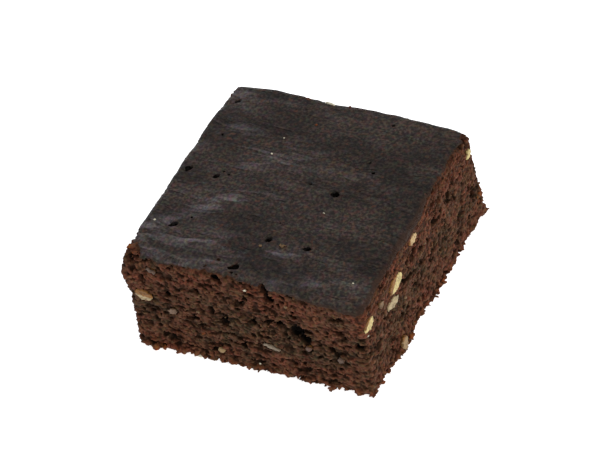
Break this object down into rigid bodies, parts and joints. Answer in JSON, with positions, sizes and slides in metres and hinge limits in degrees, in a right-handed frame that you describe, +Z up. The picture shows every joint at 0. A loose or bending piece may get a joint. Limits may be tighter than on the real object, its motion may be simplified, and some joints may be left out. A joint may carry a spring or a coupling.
{
  "type": "chocolate brownie",
  "caption": "Square of dark chocolate brownie cut from a tray bake, with a smooth skin on top, open moist crumb at its cut sides and pieces of chopped almond in them.",
  "frame": {"origin": "under the middle of the block, on the plane it rests on", "axes": "+Z up through the skin; +X along the front cut to the right, -Y out of the front cut"},
  "size_m": [0.0672, 0.0692, 0.0299],
  "materials": {
    "crumb": "moist dark brown cake crumb, matte, full of small pores",
    "skin": "thin baked skin, nearly black brown, satin with a faint sheen",
    "almond": "cut almond flesh, cream, matte, with traces of tan skin"
  },
  "bodies": {
    "root": {"brownie": "crumb", "nut_front_skinned": "almond", "nut_front_grey": "almond", "nut_front_low": "almond", "nut_front_sliver": "almond", "nut_front_pink": "almond", "nut_front_corner": "almond", "nut_front_flake": "almond", "nut_right_near": "almond", "nut_right_small": "almond", "nut_right_large": "almond", "nut_right_second": "almond", "nut_right_high": "almond", "nut_right_foot": "almond", "nut_right_far": "almond", "nut_back_edge": "almond", "nut_back_large": "almond", "nut_back_middle": "almond", "nut_back_low": "almond", "nut_back_small": "almond", "nut_left_large": "almond", "nut_left_middle": "almond", "nut_left_low": "almond", "nut_left_small": "almond"}
  },
  "joints": []
}
